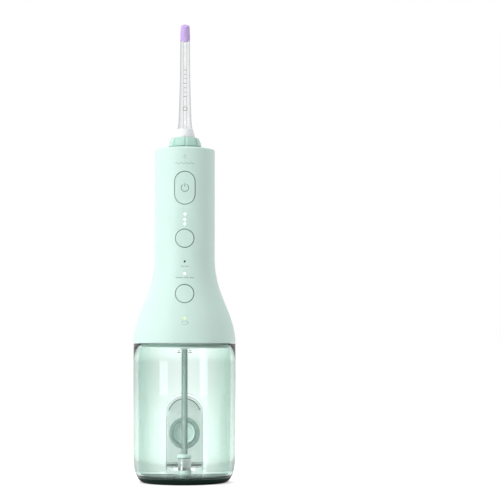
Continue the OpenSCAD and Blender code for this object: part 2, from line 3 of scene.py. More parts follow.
import bmesh
import bpy
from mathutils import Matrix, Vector


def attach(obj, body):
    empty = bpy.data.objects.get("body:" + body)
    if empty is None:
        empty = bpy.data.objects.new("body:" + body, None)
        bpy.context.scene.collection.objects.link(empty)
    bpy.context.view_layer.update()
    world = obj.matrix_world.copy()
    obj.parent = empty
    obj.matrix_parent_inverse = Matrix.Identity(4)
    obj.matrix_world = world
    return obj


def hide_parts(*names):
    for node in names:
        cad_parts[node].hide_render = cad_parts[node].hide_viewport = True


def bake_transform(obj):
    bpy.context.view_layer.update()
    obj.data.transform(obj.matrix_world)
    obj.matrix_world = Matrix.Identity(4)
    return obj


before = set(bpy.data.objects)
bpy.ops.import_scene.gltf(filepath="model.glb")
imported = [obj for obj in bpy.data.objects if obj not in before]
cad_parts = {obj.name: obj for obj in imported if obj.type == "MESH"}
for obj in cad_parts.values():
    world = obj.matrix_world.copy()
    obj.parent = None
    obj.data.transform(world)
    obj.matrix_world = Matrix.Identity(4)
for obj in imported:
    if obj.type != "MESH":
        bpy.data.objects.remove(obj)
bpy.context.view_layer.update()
S = 0.001


# ------------------------------------------------------------------ numbers shared with the part
def bz(t, a, b, c, d):
    return a * (1 - t) ** 3 + 3 * b * t * (1 - t) ** 2 + 3 * c * t * t * (1 - t) + d * t**3


def flare_t(z):
    lo, hi = 0.0, 1.0
    for _ in range(50):
        m = (lo + hi) / 2
        if bz(m, 150, 122, 114, 90) > z:
            lo = m
        else:
            hi = m
    return lo


def grip(z):
    """outside radius of the handle at height z"""
    return 20.0 if z >= 150 else bz(flare_t(z), 20, 20, 34, 34)


TANK = [(31.2, 3.6), (32.2, 5.4), (33.1, 8.7), (33.7, 13), (34, 18), (34, 92)]


def tank(z):
    for (r0, z0), (r1, z1) in zip(TANK, TANK[1:]):
        if z <= z1:
            return r0 + (r1 - r0) * max(0, z - z0) / (z1 - z0)
    return 34.0


def front(x, z, lift=0.0):
    return -math.sqrt(max(grip(z) ** 2 - x * x, 0.01)) - lift


# ------------------------------------------------------------------ materials
def tree(name):
    m = bpy.data.materials.new(name)
    m.use_nodes = True
    nt = m.node_tree
    return m, nt, nt.nodes["Principled BSDF"]


def noise(nt, scale, detail=3.0, rough=0.5):
    tc = nt.nodes.new("ShaderNodeTexCoord")
    n = nt.nodes.new("ShaderNodeTexNoise")
    n.inputs["Scale"].default_value = scale
    n.inputs["Detail"].default_value = detail
    n.inputs["Roughness"].default_value = rough
    nt.links.new(tc.outputs["Object"], n.inputs["Vector"])
    return n.outputs["Fac"]


def spread(nt, src, lo, hi):
    r = nt.nodes.new("ShaderNodeMapRange")
    r.inputs["From Min"].default_value = 0.3
    r.inputs["From Max"].default_value = 0.7
    r.inputs["To Min"].default_value = lo
    r.inputs["To Max"].default_value = hi
    nt.links.new(src, r.inputs["Value"])
    return r.outputs["Result"]


def two(nt, src, a, b):
    m = nt.nodes.new("ShaderNodeMix")
    m.data_type = "RGBA"
    m.inputs[6].default_value = (*a, 1)
    m.inputs[7].default_value = (*b, 1)
    nt.links.new(src, m.inputs[0])
    return m.outputs[2]


def bump(nt, bsdf, src, strength, depth):
    b = nt.nodes.new("ShaderNodeBump")
    b.inputs["Strength"].default_value = strength
    b.inputs["Distance"].default_value = depth * S
    nt.links.new(src, b.inputs["Height"])
    nt.links.new(b.outputs["Normal"], bsdf.inputs["Normal"])


def plastic(name, rgb, rough=0.38, var=0.02, grain=3600.0, depth=0.004, strength=0.12, coat=0.0, glow=None, sub=0.0, spec=0.5):
    """moulded plastic: a fine spark-eroded grain in roughness and relief, and a slow drift in colour"""
    m, nt, b = tree(name)
    slow = spread(nt, noise(nt, 70, 2), 0, 1)
    fine = noise(nt, grain, 4, 0.6)
    lo = tuple(max(0, c * (1 - var)) for c in rgb)
    hi = tuple(min(1, c * (1 + var)) for c in rgb)
    nt.links.new(two(nt, slow, lo, hi), b.inputs["Base Color"])
    nt.links.new(spread(nt, fine, max(0.02, rough - 0.05), rough + 0.05), b.inputs["Roughness"])
    bump(nt, b, fine, strength, depth)
    b.inputs["IOR"].default_value = 1.5
    b.inputs["Specular IOR Level"].default_value = spec
    if coat:
        b.inputs["Coat Weight"].default_value = coat
        b.inputs["Coat Roughness"].default_value = 0.12
    if sub:
        b.inputs["Subsurface Weight"].default_value = sub
        b.inputs["Subsurface Radius"].default_value = (1, 1, 1)
        b.inputs["Subsurface Scale"].default_value = 0.002
    if glow:
        b.inputs["Emission Color"].default_value = (*glow[0], 1)
        b.inputs["Emission Strength"].default_value = glow[1]
    return m


def metal(name, rgb, rough=0.25, streak=900.0, depth=0.004):
    """metal with fine turning marks round Z and small roughness drift"""
    m, nt, b = tree(name)
    tc = nt.nodes.new("ShaderNodeTexCoord")
    mp = nt.nodes.new("ShaderNodeMapping")
    mp.inputs["Scale"].default_value = (60, 60, streak * 4)
    n = nt.nodes.new("ShaderNodeTexNoise")
    n.inputs["Scale"].default_value = 1.0
    n.inputs["Detail"].default_value = 3
    nt.links.new(tc.outputs["Object"], mp.inputs["Vector"])
    nt.links.new(mp.outputs["Vector"], n.inputs["Vector"])
    f = n.outputs["Fac"]
    nt.links.new(two(nt, f, tuple(c * 0.92 for c in rgb), rgb), b.inputs["Base Color"])
    nt.links.new(spread(nt, f, max(0.03, rough - 0.06), rough + 0.06), b.inputs["Roughness"])
    bump(nt, b, f, 0.2, depth)
    b.inputs["Metallic"].default_value = 1.0
    return m


def clear(name, rgb, rough=0.03, ior=1.45, weight=1.0, edge=None, power=0.35):
    """clear moulded plastic: a drifting polish, and a deeper tint where the wall is seen edge on, partly the longer
    path through the wall and partly painted shade darkening the rims
    """
    m, nt, b = tree(name)
    nt.links.new(spread(nt, noise(nt, 30, 2), max(0.0, rough * 0.6), rough * 1.4), b.inputs["Roughness"])
    # painted shade: where the surface is seen edge on, the base colour turns to the edge colour, darkening the rims of
    # clear parts
    edge_shade_weight = nt.nodes.new("ShaderNodeLayerWeight")
    edge_shade_weight.inputs["Blend"].default_value = power
    nt.links.new(two(nt, edge_shade_weight.outputs["Facing"], rgb, edge or tuple(c * 0.7 for c in rgb)), b.inputs["Base Color"])
    b.inputs["IOR"].default_value = ior
    b.inputs["Transmission Weight"].default_value = weight
    return m


MINT = (0.610, 0.800, 0.735)
MAT = {
    "sleeve_mint": plastic("sleeve_mint", MINT, 0.40, 0.012),
    "collar_mint": plastic("collar_mint", (0.470, 0.705, 0.622), 0.17, 0.015),
    "button_mint": plastic("button_mint", (0.600, 0.790, 0.722), 0.42, 0.012, grain=3000),
    "cover_mint": plastic("cover_mint", (0.500, 0.690, 0.620), 0.5, 0.02, grain=2600),
    # door and tank: the darker last colour is partly the thick wall's deeper tint and partly painted shade at the rims
    "door_mint": clear("door_mint", (0.960, 0.988, 0.978), 0.34, 1.30, 0.85, (0.30, 0.44, 0.39), 0.40),
    "tank_clear": clear("tank_clear", (0.875, 0.948, 0.922), 0.006, 1.45, 1.0, (0.36, 0.56, 0.48), 0.66),
    # foot ring: its near-black colour is painted shade, the contact shadow seen through the tank's rounded base
    "foot_dark": plastic("foot_dark", (0.004, 0.020, 0.015), 0.55, 0.1, spec=0.15),
    # this dark also colours the arc on the door frame, painted shade in the door's gap
    "seal_dark": plastic("seal_dark", (0.030, 0.048, 0.043), 0.55, 0.1, grain=2400, spec=0.3),
    "seal_green": plastic("seal_green", (0.250, 0.370, 0.330), 0.50, 0.05, grain=2400),
    "silicone_pale": plastic("silicone_pale", (0.70, 0.86, 0.81), 0.50, 0.02, grain=2400, sub=0.2),
    # this grey also colours the strips down the door frame's sides, painted shade in the door's gap
    "port_and_gap_shade_grey": plastic("port_and_gap_shade_grey", (0.300, 0.430, 0.390), 0.42, 0.04, grain=2400),
    # keypad seal: near black so the gaps round the buttons read dark, painted shade in those gaps
    "keypad_grey": plastic("keypad_grey", (0.010, 0.022, 0.019), 0.7, 0.05, grain=2400, spec=0.1),
    "steel": metal("steel", (0.62, 0.63, 0.65), 0.26),
    "motor_steel": metal("motor_steel", (0.52, 0.53, 0.55), 0.34),
    "weight_chrome": metal("weight_chrome", (0.44, 0.46, 0.46), 0.10),
    "magnet_grey": plastic("magnet_grey", (0.060, 0.060, 0.068), 0.55, 0.12, grain=700, depth=0.03),
    "winding_copper": metal("winding_copper", (0.72, 0.34, 0.16), 0.32, 2600, 0.03),
    "pinion_brass": metal("pinion_brass", (0.75, 0.55, 0.22), 0.28),
    "battery_blue": plastic("battery_blue", (0.05, 0.17, 0.48), 0.28, 0.05, coat=0.5),
    "board_green": plastic("board_green", (0.012, 0.120, 0.045), 0.38, 0.15, grain=500, coat=0.3),
    "black_plastic": plastic("black_plastic", (0.016, 0.016, 0.019), 0.45, 0.12),
    "led_body": plastic("led_body", (0.82, 0.80, 0.60), 0.3, 0.05),
    "inner_white": plastic("inner_white", (0.78, 0.83, 0.81), 0.42, 0.02),
    "pump_grey": plastic("pump_grey", (0.58, 0.63, 0.63), 0.40, 0.03),
    "gear_white": plastic("gear_white", (0.80, 0.80, 0.76), 0.33, 0.03),
    # hose: the near-black last colour is painted shade along the hose's rims
    "hose_clear": clear("hose_clear", (0.44, 0.58, 0.53), 0.30, 1.40, 0.25, (0.04, 0.07, 0.065), 0.62),
    "light_white": plastic("light_white", (0.95, 0.98, 0.97), 0.35, 0.01, glow=((0.95, 1, 0.98), 1.6)),
    "light_dark": plastic("light_dark", (0.030, 0.050, 0.045), 0.35, 0.05),
    "light_green": plastic("light_green", (0.72, 0.90, 0.30), 0.35, 0.02, glow=((0.72, 1.0, 0.25), 0.75)),
    "nozzle_white": plastic("nozzle_white", (0.84, 0.86, 0.87), 0.34, 0.02, sub=0.3),
    # nozzle tube: the near-black last colour is painted shade along the tube's rims
    "nozzle_clear": clear("nozzle_clear", (0.965, 0.970, 0.975), 0.0, 1.18, 1.0, (0.10, 0.11, 0.12), 0.42),
    "mark_grey": plastic("mark_grey", (0.34, 0.35, 0.36), 0.35, 0.03, grain=2600),
    "tip_purple": plastic("tip_purple", (0.560, 0.420, 0.760), 0.42, 0.03, grain=2600, sub=0.25),
    "print_grey": plastic("print_grey", (0.130, 0.200, 0.180), 0.5, 0.1, grain=2500),
    "print_pale": plastic("print_pale", (0.330, 0.450, 0.410), 0.5, 0.06, grain=2500),
}


# ------------------------------------------------------------------ mesh helpers, all in millimetres
def build(name, verts, faces, angle=34.0):
    me = bpy.data.meshes.new(name)
    me.from_pydata([(x * S, y * S, z * S) for x, y, z in verts], [], faces)
    clean(me, angle)
    o = bpy.data.objects.new(name, me)
    bpy.context.scene.collection.objects.link(o)
    return o


def clean(me, angle=34.0, merge=2e-6):
    bm = bmesh.new()
    bm.from_mesh(me)
    bmesh.ops.remove_doubles(bm, verts=bm.verts, dist=merge)
    bmesh.ops.dissolve_degenerate(bm, edges=bm.edges, dist=merge / 2)
    loose = [v for v in bm.verts if not v.link_faces]
    bmesh.ops.delete(bm, geom=loose, context="VERTS")
    bmesh.ops.delete(bm, geom=[e for e in bm.edges if not e.link_faces], context="EDGES")
    bmesh.ops.recalc_face_normals(bm, faces=bm.faces)
    bm.to_mesh(me)
    bm.free()
    for p in me.polygons:
        p.use_smooth = True
    me.set_sharp_from_angle(angle=math.radians(angle))


def place(o, body, mat, nodes=()):
    o.data.materials.clear()
    o.data.materials.append(MAT[mat])
    if body:
        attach(o, body)
    if nodes:
        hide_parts(*nodes)
    return o


def boolean(o, cutter, op="DIFFERENCE", angle=34.0, keep=False):
    m = o.modifiers.new("b", "BOOLEAN")
    m.operation, m.solver, m.object = op, "EXACT", cutter
    dg = bpy.context.evaluated_depsgraph_get()
    new = bpy.data.meshes.new_from_object(o.evaluated_get(dg))
    o.modifiers.clear()
    o.data = new
    clean(new, angle, 1e-6)
    if not keep:
        bpy.data.objects.remove(cutter)
    return o


def join(name, objs):
    verts, faces = [], []
    for o in objs:
        k = len(verts)
        verts += [tuple(c / S for c in v.co) for v in o.data.vertices]
        faces += [[k + i for i in p.vertices] for p in o.data.polygons]
        bpy.data.objects.remove(o)
    me = bpy.data.meshes.new(name)
    me.from_pydata([(x * S, y * S, z * S) for x, y, z in verts], [], faces)
    for p in me.polygons:
        p.use_smooth = True
    me.set_sharp_from_angle(angle=math.radians(34))
    o = bpy.data.objects.new(name, me)
    bpy.context.scene.collection.objects.link(o)
    return o


def fillet(poly, radii, seg=4):
    """the closed outline with the corners in radii rounded; radii maps a corner's index to its radius"""
    out, n = [], len(poly)
    for i, p in enumerate(poly):
        r = radii.get(i, 0)
        if not r:
            out.append(p)
            continue
        p, a, b = Vector(p), Vector(poly[i - 1]), Vector(poly[(i + 1) % n])
        u, v = (a - p), (b - p)
        lu, lv = u.length, v.length
        u, v = u / lu, v / lv
        half = math.acos(max(-1, min(1, u.dot(v)))) / 2
        d = min(r / math.tan(half), 0.48 * lu, 0.48 * lv)
        for k in range(seg + 1):
            t = k / seg
            out.append(tuple(p + u * d * (1 - t) ** 2 + v * d * t * t))
    return out


def revolve(name, poly, n=192, shape=None, angle=34.0):
    """a closed outline of (radius, height) turned round Z. shape(radius, height, angle) may change the radius"""
    verts, faces, m = [], [], len(poly)
    for k in range(n):
        a = 2 * math.pi * k / n
        for r, z in poly:
            q = shape(r, z, a) if shape else r
            verts.append((q * math.cos(a), q * math.sin(a), z))
    for k in range(n):
        for i in range(m):
            j, l = (i + 1) % m, (k + 1) % n
            faces.append((k * m + i, l * m + i, l * m + j, k * m + j))
    return build(name, verts, faces, angle)


def rrect(a, b, rc, e=0.0, k=12, side=8):
    """a rounded rectangle's outline, half sizes a and b, moved in by e; the same number of points for every e"""
    a, b, r = max(a - e, 0), max(b - e, 0), max(rc - e, 0)
    r = min(r, a, b)
    pts = []
    for q, (sx, sy) in enumerate([(1, 1), (-1, 1), (-1, -1), (1, -1)]):
        cx, cy = sx * (a - r), sy * (b - r)
        for i in range(k + 1):
            t = math.radians(90 * q + 90 * i / k)
            pts.append((cx + r * math.cos(t), cy + r * math.sin(t)))
        nq = [(-1, 1), (-1, -1), (1, -1), (1, 1)][q]
        t = math.radians(90 * (q + 1))
        s = (cx + r * math.cos(t), cy + r * math.sin(t))
        f = (nq[0] * (a - r) + r * math.cos(t), nq[1] * (b - r) + r * math.sin(t))
        for i in range(1, side):
            pts.append((s[0] + (f[0] - s[0]) * i / side, s[1] + (f[1] - s[1]) * i / side))
    return pts


def arch(w, z0, zc, e=0.0, rc=1.0, k=48, side=14):
    """an upright door outline, half width w, from z0 up to a round top centred at zc, moved in by e"""
    w, z0, rc = max(w - e, 0), z0 + e, max(rc - e, 0)
    z0, rc = min(z0, zc), min(rc, w)
    pts = []
    for i in range(k + 1):
        t = math.pi * i / k
        pts.append((w * math.cos(t), zc + w * math.sin(t)))
    for i in range(1, side):
        pts.append((-w, zc + (min(z0 + rc, zc) - zc) * i / side))
    for i in range(7):
        t = math.pi + math.pi / 2 * i / 6
        pts.append((-(w - rc) + rc * math.cos(t), min(z0 + rc, zc) + rc * math.sin(t)))
    for i in range(1, side):
        pts.append((-(w - rc) + 2 * (w - rc) * i / side, z0 if rc else min(z0, zc)))
    for i in range(7):
        t = 1.5 * math.pi + math.pi / 2 * i / 6
        pts.append(((w - rc) + rc * math.cos(t), min(z0 + rc, zc) + rc * math.sin(t)))
    for i in range(1, side):
        pts.append((w, min(z0 + rc, zc) + (zc - min(z0 + rc, zc)) * i / side))
    return pts


def stack(name, rings, angle=34.0, closed=False):
    """a skin over rings of the same number of points; the first and last ring are closed off, or joined to each other"""
    n = len(rings[0])
    verts = [p for r in rings for p in r]
    faces = []
    for i in range(len(rings) - (0 if closed else 1)):
        j = (i + 1) % len(rings)
        for k in range(n):
            l = (k + 1) % n
            faces.append((i * n + k, i * n + l, j * n + l, j * n + k))
    if not closed:
        faces.append(tuple(range(n)))
        faces.append(tuple(range((len(rings) - 1) * n, len(rings) * n)))
    return build(name, verts, faces, angle)


def arc_ring(r, steps=5):
    """(moved in, dropped) along a rounded edge of radius r, from the side up to the face"""
    return [(r - r * math.cos(math.pi / 2 * i / steps), r - r * math.sin(math.pi / 2 * i / steps)) for i in range(steps + 1)]


def ribbon(pts, w, surf, lift=0.03, deep=0.03, loop=False):
    """a printed line of width w along pts (x, z), lying on surf(x, z, lift)"""
    n, out = len(pts), []
    for i in range(n):
        a = pts[(i - 1) % n] if (loop or i) else pts[i]
        b = pts[(i + 1) % n] if (loop or i < n - 1) else pts[i]
        dx, dz = b[0] - a[0], b[1] - a[1]
        d = math.hypot(dx, dz) or 1
        nx, nz = -dz / d * w / 2, dx / d * w / 2
        x, z = pts[i]
        out.append([surf(x + nx, z + nz, lift), surf(x - nx, z - nz, lift), surf(x - nx, z - nz, -deep), surf(x + nx, z + nz, -deep)])
    verts = [p for q in out for p in q]
    faces = []
    for i in range(n if loop else n - 1):
        j = (i + 1) % n
        for k in range(4):
            l = (k + 1) % 4
            faces.append((i * 4 + k, i * 4 + l, j * 4 + l, j * 4 + k))
    if not loop:
        faces += [(0, 1, 2, 3), (n * 4 - 4, n * 4 - 3, n * 4 - 2, n * 4 - 1)]
    return build("line", verts, faces)


def circle(r, cx=0.0, cz=0.0, a0=0.0, a1=360.0, n=48):
    full = abs(a1 - a0) >= 360
    return [
        (cx + r * math.cos(math.radians(a0 + (a1 - a0) * i / n)), cz + r * math.sin(math.radians(a0 + (a1 - a0) * i / n)))
        for i in range(n if full else n + 1)
    ]


# ------------------------------------------------------------------ handle
def on_handle(x, z, lift=0.0):
    return (x, front(x, z, lift), z)


flare = [(bz(t, 20, 20, 34, 34), bz(t, 150, 122, 114, 90)) for t in [0.966 * (1 - i / 70) for i in range(71)]]
outer = flare + [(20, z) for z in [153 + 3.0 * i for i in range(22)]] + [(20, 219.2)]
rim = [(20 - a, 221.6 - b) for a, b in arc_ring(1.2, 7)]
inner = [(18.2, 221.6), (18.2, 219.5), (17.8, 219.5)] + [(17.8, z) for z in range(216, 150, -6)]
inner += [(r - 2.2, z) for r, z in reversed(flare)]
sleeve = revolve("sleeve", outer + rim + inner, 256)


def hole(shape, surf, depth, lip=0.14):
    """a cutter through a skin, with a rounded lip. shape(e) gives the outline and surf(x, z, out) a point on the skin"""
    rings = [(0.0, -depth), (0.0, -lip * 1.6), (0.0, -lip)]
    rings += [(-lip + lip * math.cos(t), -lip + lip * math.sin(t)) for t in [math.radians(a) for a in (20, 40, 60, 78)]]
    rings += [(-lip * 1.02, 0.12), (-lip * 1.02, 3.0)]
    return stack("cut", [[surf(x, z, d) for x, z in shape(e)] for e, d in rings])


def moved(fn, cz):
    return lambda e: [(x, z + cz) for x, z in fn(e)]


cuts = [hole(moved(lambda e: rrect(7.0, 11.15, 7.0, e), 194.5), on_handle, 5)]
for zc in (161.2, 124.6):
    cuts.append(hole(moved(lambda e: rrect(6.3, 6.3, 6.3, e, 16, 1), zc), on_handle, 5 if zc > 150 else 6))
for zc in (177.1, 173.6, 170.6, 145.9, 137.9, 108.5):
    cuts.append(hole(moved(lambda e: rrect(0.70, 0.70, 0.70, e, 8, 1), zc), on_handle, 5, 0.08))

CA = math.radians(16.4)


def cover_at(x, u, v):
    return (x, 22.45 + u * math.cos(CA) - v * math.sin(CA), 131 + u * math.sin(CA) + v * math.cos(CA))


def cover_skin(x, v):
    lo, hi = -6.0, 4.0
    for _ in range(40):
        m = (lo + hi) / 2
        p = cover_at(x, m, v)
        if math.hypot(p[0], p[1]) < grip(p[2]):
            lo = m
        else:
            hi = m
    return lo


def on_cover(x, v, lift=0.0):
    return cover_at(x, cover_skin(x, v) + lift, v)


cuts.append(hole(lambda e: rrect(6, 5.6, 0.9, e, 6, 10), on_cover, 4.6, 0.2))
boolean(sleeve, join("cuts", cuts))
place(sleeve, "handle", "sleeve_mint", ["outer_sleeve"])

# the moulded floor of the charging recess, with its socket hole
plate = stack("charge_recess", [[cover_at(x, u, v) for x, v in rrect(7.0 - e, 6.9 - e, 1.0, 0, 6, 6)] for u, e in [(-4.3, 0), (-2.36, 0)]])
boolean(plate, stack("cut", [[cover_at(x, u, v) for x, v in rrect(3.0, 3.0, 3.0, e, 12, 1)] for u, e in [(-6, 0), (-2.6, 0), (-2.42, -0.06), (-2.0, -0.3)]]))
place(plate, "handle", "sleeve_mint")

cap = [(7.6, 218.3), (10.5, 218.3), (10.5, 219.8), (16.2, 219.8), (16.2, 216.5), (17.7, 216.5), (17.7, 219.6), (18.1, 219.6)]
cap += [(18.1, 221.5), (18.0, 221.63), (17.8, 221.72), (17, 221.95), (16.2, 222.14), (15.3, 222.34), (14.5, 222.5), (13.6, 222.65), (12.7, 222.78), (11.8, 222.88), (10.4, 222.96), (9, 223), (7.9, 223), (7.6, 222.8)]
place(revolve("cap_dome", cap, 192, angle=40), "handle", "sleeve_mint", ["top_cap"])

seal = fillet([(29.5, 89.9), (30.6, 89.9), (30.92, 90.55), (30.6, 91.2), (29.5, 91.2)], {1: 0.3, 2: 0.5, 3: 0.3}, 5)
place(revolve("rim_seal", seal, 192), "handle", "seal_green", ["tank_seal"])


# ------------------------------------------------------------------ turning collar, fluted
FLUTES = [math.radians(-87 + 45 * i) for i in range(8)]


def fluted(r, z, a):
    """scooped flutes with soft edges, and flats between them that catch the light one by one"""
    if z < 222.9 or r < 8.65:
        return r
    rc = 11.55 - (z - 222.8) * math.tan(math.radians(16.5))
    best = r
    for f in FLUTES:
        d = math.atan2(math.sin(a - f), math.cos(a - f))
        s = abs(r * math.sin(d))
        if abs(d) < 0.5 and s < 0.95:
            edge = rc - math.sqrt(max(0.64 - s * s, 0)) if s < 0.8 else r
            w = min(1, max(0, (0.95 - s) / 0.22))
            w = w * w * (3 - 2 * w)
            best = min(best, r + (min(edge, r) - r) * w)
        if abs(d) < math.radians(22.6):
            # flat chord between two flutes
            c = abs(abs(d) - math.radians(22.5))
            flat = r * math.cos(math.radians(14)) / max(math.cos(c), 0.9)
            fade = min(1, max(0, (z - 223.5) / 0.8))
            best = min(best, r + (min(flat, r) - r) * 0.55 * fade)
    return best


wall = [(10.7, 223.35), (10.88, 223.45), (11, 223.7), (11, 224.0), (10.95, 224.3), (10.86, 224.7), (10.75, 225.1), (10.6, 225.6), (10.44, 226.1), (10.28, 226.55), (10.1, 227), (9.92, 227.45), (9.7, 227.95), (9.5, 228.4), (9.33, 228.75), (9.15, 229.0), (8.95, 229.18), (8.75, 229.27), (8.5, 229.3)]
col = [(3.65, 214), (7.5, 214), (7.5, 217.1), (6.9, 217.1), (6.9, 218.1), (7.5, 218.1), (7.5, 223.35)] + wall
col += [(7.5, 229.3), (5.0, 229.3), (4.82, 229.22), (4.75, 229.0), (4.75, 225.2), (3.65, 225.2)]
place(revolve("collar_ring", col, 480, fluted, 42), "collar", "collar_mint", ["nozzle_collar"])


# ------------------------------------------------------------------ nozzle
def bent(a, l=0.0):
    a = math.radians(a)
    return Vector((0, -16 + 16 * math.cos(a) - l * math.sin(a), 291 + 16 * math.sin(a) + l * math.cos(a)))


def along(s):
    """point, direction and the two cross directions at distance s along the bend, from where it starts at 291"""
    full = math.radians(24) * 16
    if s <= 0:
        p, a = Vector((0, 0, 291 + s)), 0.0
    elif s <= full:
        a = s / 16
        p = bent(math.degrees(a))
    else:
        a = math.radians(24)
        p = bent(24, s - full)
    d = Vector((0, -math.sin(a), math.cos(a)))
    return p, d, Vector((1, 0, 0)), Vector((0, math.cos(a), math.sin(a)))


def tube_rings(rows, n=128):
    """rows of (distance, radius); distance may be a function of the angle round the tube, 0 at the front"""
    rings = []
    for s, r in rows:
        ring = []
        for k in range(n):
            t = 2 * math.pi * k / n
            p, _, e, f = along(s(t) if callable(s) else s)
            q = p + r * (math.sin(t) * e - math.cos(t) * f)
            ring.append(tuple(q))
        rings.append(ring)
    return rings


base = [(1.3, 206.5), (2.9, 206.5), (3.1, 206.7), (3.5, 207.2), (3.5, 225.4), (4.5, 225.4), (4.6, 225.6), (4.6, 229.5), (6.55, 229.5), (6.72, 229.6), (6.8, 229.85), (6.76, 230.2), (6.55, 231.2), (6.35, 232.0), (6.1, 232.8), (5.85, 233.5), (5.6, 234.2), (5.4, 234.8), (5.25, 235.2), (5.12, 235.38), (4.95, 235.4), (2.6, 235.4), (2.6, 231), (1.3, 231)]
place(revolve("nozzle_skirt", base, 128, angle=40), "nozzle", "nozzle_white", ["nozzle_base"])

LINE = [(235.41, 5.1), (236.3, 4.85), (237.4, 4.63), (239.2, 4.44), (241.4, 4.3), (246.7, 4.07), (252, 3.9), (262.7, 3.57), (268, 3.43), (281.4, 3.33), (291, 3.25)]


def tube_r(z):
    """outside radius of the clear tube, smooth between the part's own stations"""
    if z >= 291:
        return 3.25
    for i in range(len(LINE) - 1):
        (z0, r0), (z1, r1) = LINE[i], LINE[i + 1]
        if z <= z1:
            m0 = (r1 - LINE[i - 1][1]) / (z1 - LINE[i - 1][0]) if i else (r1 - r0) / (z1 - z0)
            m1 = (LINE[i + 2][1] - r0) / (LINE[i + 2][0] - z0) if i + 2 < len(LINE) else 0.0
            h, t = z1 - z0, (z - z0) / (z1 - z0)
            return (2 * t**3 - 3 * t * t + 1) * r0 + (t**3 - 2 * t * t + t) * h * m0 + (3 * t * t - 2 * t**3) * r1 + (t**3 - t * t) * h * m1
    return 3.25


END = math.radians(15.5) * 16
rows = [(231 - 291, 2.58), (235.4 - 291, 2.58), (235.41 - 291, 4.95), (235.5 - 291, 5.08)]
rows += [(z - 291, tube_r(z)) for z in [235.8, 236.3, 236.8, 237.4, 238.2, 239.2, 240.3, 241.4, 243, 245, 247, 249.5, 252, 255, 258, 262, 266, 270, 275, 280, 285, 291]]
rows += [(END * i / 10, 3.25) for i in range(1, 11)]
bore = [(END * (10 - i) / 10, 1.3) for i in range(11)] + [(z - 291, 1.3) for z in range(285, 230, -6)] + [(-60, 1.3)]
tube = stack("clear_tube", tube_rings(rows + bore), 34, closed=True)
place(tube, "nozzle", "nozzle_clear", ["nozzle_tube"])


def on_tube(x, z, lift=0.0):
    return (x, -math.sqrt(max(tube_r(z) ** 2 - x * x, 0.01)) - lift, z)


marks = [ribbon(circle(1.35, 0, 248.8), 0.5, on_tube, 0.12, 0.05, True)]
for i, h in enumerate((1.1, 0.6, 0.6, 1.1, 0.6, 0.6, 1.1)):
    marks.append(ribbon([(-h, 257.0 + 3.0 * i), (0, 257.0 + 3.0 * i), (h, 257.0 + 3.0 * i)], 0.42, on_tube, 0.07, 0.05))
place(join("tube_marks", marks), "nozzle", "mark_grey")


# the soft tip: its lower edge dips to a point front and back, over the tube's end
def dip(extra):
    return lambda t: END + extra - 1.2 * max(0.0, math.cos(2 * t)) ** 1.3


FULL = math.radians(24) * 16
tip = [(dip(0.0), 3.27), (dip(-0.02), 3.32), (dip(0.12), 3.37), (dip(0.5), 3.38), (END + 1.0, 3.38), (END + 1.7, 3.36), (FULL, 3.33)]
tip += [(FULL + l, r) for l, r in [(1.5, 3.27), (3, 3.2), (4.2, 3.15), (5, 3.12), (6, 3.08), (7, 3.0), (7.35, 2.92), (7.6, 2.82), (7.8, 2.68), (7.95, 2.48), (8.04, 2.25), (8.08, 1.95), (8.08, 1.15), (7.98, 1.0), (7.6, 0.85), (7.2, 0.5), (7.1, 0.45), (5.1, 0.45), (5, 1.3), (2, 1.3)]]
tip += [(FULL, 1.3), (END + 0.02, 1.3), (END + 0.02, 3.27)]
place(stack("soft_tip", tube_rings(tip, 72), 40, closed=True), "nozzle", "tip_purple", ["nozzle_tip"])


# ------------------------------------------------------------------ buttons
def face(x, z=0.0):
    return 20.3 - math.sqrt(1600 - x * x)


def mode_face(x, z):
    c, s = math.cos(math.radians(20.6)), math.sin(math.radians(20.6))
    y = 40.15 - math.sqrt(1600 - x * x)
    zz = (z + s * y) / c
    return -24.62 + c * y + s * zz


def button(name, shape, deepest, top, back, flange, edge=0.4):
    """rings from the back's centre, round the flange, up the side, over the rounded edge and in over the face"""
    rings = [(0.999 * deepest, back), (0.5 * deepest, back), (-flange[0], back if flange[1] is None else flange[1]), (-flange[0], flange[2]), (0.0, flange[2])]
    pts = [[(x, y, z) for x, z in shape(e)] for e, y in rings]
    for e, d in arc_ring(edge, 6):
        pts.append([(x, top(x, z) + d, z) for x, z in shape(e)])
    for k in range(1, 11):
        e = edge + (deepest - edge) * k / 10
        pts.append([(x, top(x, z), z) for x, z in shape(min(e, deepest * 0.999))])
    return stack(name, pts)


place(button("power_pad", moved(lambda e: rrect(6.6, 10.75, 6.6, e, 16, 8), 194.5), 6.6, face, -15, (0.7, None, -15.6)), "power_button", "button_mint", ["power_button"])
place(button("intensity_pad", moved(lambda e: rrect(5.9, 5.9, 5.9, e, 18, 1), 161.2), 5.9, face, -15, (0.7, None, -15.6)), "intensity_button", "button_mint", ["intensity_button"])
mode = button("mode_pad", moved(lambda e: rrect(5.9, 5.9, 5.9, e, 18, 1), 124.6), 5.9, lambda x, z: mode_face(x, z - 124.6), -17.4, (0.7, None, -18.1))
stem = stack("stem", [[(x, y, z + 124.6) for x, z in rrect(2, 2, 2, e, 10, 1)] for e, y in [(0.25, -15), (0, -15.25), (0, -17.8)]])
boolean(mode, stem, "UNION")
place(mode, "mode_button", "button_mint", ["mode_button"])


def on_face(x, z, lift=0.0):
    return (x, face(x) - lift, z)


icon = [
    ribbon(circle(2.45, 0, 194.5, 90 + 33, 450 - 33, 44), 0.42, on_face),
    ribbon([(0, 195.1), (0, 196.3), (0, 197.5)], 0.42, on_face),
]
place(join("power_mark", icon), "power_button", "print_grey")

